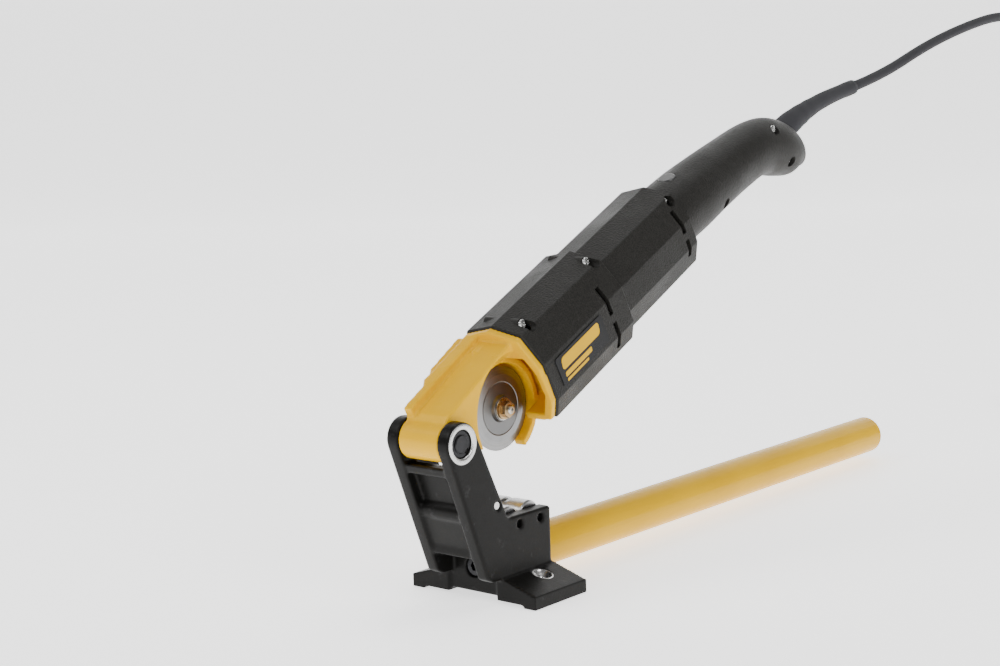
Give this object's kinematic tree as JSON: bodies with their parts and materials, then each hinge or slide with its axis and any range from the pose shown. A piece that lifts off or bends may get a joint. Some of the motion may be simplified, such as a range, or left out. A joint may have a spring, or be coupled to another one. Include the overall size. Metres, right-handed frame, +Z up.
{
  "type": "electric pipe cut-off tool",
  "caption": "Portable electric pipe cutter: bench base with pipe rollers and long tube, hinged drive unit with a round cutter wheel, handle and mains cord.",
  "frame": {"origin": "midway between the two bench screw holes, on the bench surface", "axes": "+X along the pipe being cut, towards its free end; +Y backwards along the support tube; +Z up from the bench"},
  "size_m": [0.1557, 0.8189, 0.3155],
  "materials": {
    "yellow_casting": "glossy golden-yellow paint over a die-cast body",
    "yellow_tube": "glossy golden-yellow painted steel tube",
    "black_casting": "satin near-black paint over a cast base",
    "housing_plastic": "fine-grained charcoal plastic",
    "polished_steel": "polished steel with turned marks",
    "machined_steel": "machined steel",
    "brass_parts": "machined brass",
    "copper_winding": "enamelled copper wire",
    "sintered_bronze": "sintered bronze bearing bush",
    "laminated_steel": "stacked steel sheets",
    "gear_steel": "hardened gear steel",
    "fan_plastic": "moulded nylon",
    "carbon": "pressed carbon",
    "label_plastic": "dark glossy panel with plain yellow bars",
    "button_plastic": "smooth black plastic",
    "switch_plastic": "moulded plastic case",
    "cord_rubber": "soft black rubber sheath",
    "pale_plastic": "moulded plastic"
  },
  "bodies": {
    "base": {"base_bracket": "black_casting", "support_tube": "yellow_tube", "tube_end_cap": "yellow_tube", "tube_plug_nut": "machined_steel", "tube_bolt": "machined_steel", "hinge_pin": "machined_steel", "hinge_retaining_rings": "gear_steel", "front_roller_axle": "machined_steel", "middle_roller_axle": "machined_steel", "rear_roller_axle": "machined_steel", "mains_cord": "cord_rubber", "cord_coil": "cord_rubber", "cord_tail": "cord_rubber", "plug_body": "cord_rubber", "plug_pins": "machined_steel"},
    "drive": {"bearing_plate": "yellow_casting", "brush_holders": "brass_parts", "carbon_brushes": "carbon", "cord_boot": "cord_rubber", "cord_clamp": "switch_plastic", "gear_housing": "yellow_casting", "hinge_bushes": "sintered_bronze", "housing_screws": "machined_steel", "housing_shell_far": "housing_plastic", "housing_shell_near": "housing_plastic", "interference_capacitor": "switch_plastic", "label_panel": "label_plastic", "motor_bearing_front": "machined_steel", "motor_bearing_rear": "machined_steel", "rear_bearing_frame": "pale_plastic", "spindle_bush_far": "sintered_bronze", "spindle_bush_near": "sintered_bronze", "stator_coils": "copper_winding", "stator_core": "laminated_steel", "switch_body": "switch_plastic", "switch_spring": "machined_steel", "terminal_block": "pale_plastic"},
    "spindle": {"cutter_spindle": "machined_steel", "cutter_wheel": "polished_steel", "wheel_washer": "machined_steel", "wheel_nut": "brass_parts", "crown_gear": "gear_steel"},
    "rotor": {"rotor_shaft": "machined_steel", "armature_core": "laminated_steel", "armature_windings": "copper_winding", "commutator": "brass_parts", "cooling_fan": "fan_plastic", "motor_pinion": "gear_steel"},
    "first_layshaft": {"first_gear": "gear_steel"},
    "second_layshaft": {"second_gear": "gear_steel"},
    "front_cradle_roller": {"front_roller": "machined_steel"},
    "middle_cradle_roller": {"middle_roller": "machined_steel"},
    "rear_cradle_roller": {"rear_roller": "machined_steel"},
    "button": {"safety_button": "button_plastic"}
  },
  "joints": [
    {"name": "drive_hinge", "type": "hinge", "parent": "base", "child": "drive", "pos_m": [0, -0.054, 0.092], "axis": [1, 0, 0], "range_deg": [-20, 60]},
    {"name": "rotor_spin", "type": "hinge", "parent": "drive", "child": "rotor", "pos_m": [0, 0.03719, 0.13314], "axis": [0, 0.8988, 0.4384], "continuous": true},
    {"name": "first_layshaft_spin", "type": "hinge", "parent": "drive", "child": "first_layshaft", "pos_m": [-0.01263, 0.0288, 0.12753], "axis": [0, 0.8988, 0.4384], "continuous": true},
    {"name": "second_layshaft_spin", "type": "hinge", "parent": "drive", "child": "second_layshaft", "pos_m": [-0.01315, 0.03421, 0.11644], "axis": [0, 0.8988, 0.4384], "continuous": true},
    {"name": "spindle_spin", "type": "hinge", "parent": "drive", "child": "spindle", "pos_m": [0, 0.00096, 0.10022], "axis": [1, 0, 0], "continuous": true},
    {"name": "front_cradle_roller_spin", "type": "hinge", "parent": "base", "child": "front_cradle_roller", "pos_m": [0, -0.028, 0.0543], "axis": [1, 0, 0], "continuous": true},
    {"name": "middle_cradle_roller_spin", "type": "hinge", "parent": "base", "child": "middle_cradle_roller", "pos_m": [0, -0.01, 0.0408], "axis": [1, 0, 0], "continuous": true},
    {"name": "rear_cradle_roller_spin", "type": "hinge", "parent": "base", "child": "rear_cradle_roller", "pos_m": [0, 0.0075, 0.0408], "axis": [1, 0, 0], "continuous": true},
    {"name": "button_press", "type": "slide", "parent": "drive", "child": "button", "axis": [0, 0.4384, -0.8988], "range_m": [0, 0.0025], "stiffness_N_per_m": 600, "springref_m": -0.003}
  ],
  "couplings": [
    {"joint": "first_layshaft_spin", "follows": "rotor_spin", "ratio": -0.2},
    {"joint": "second_layshaft_spin", "follows": "rotor_spin", "ratio": 0.05},
    {"joint": "spindle_spin", "follows": "rotor_spin", "ratio": -0.010606}
  ]
}
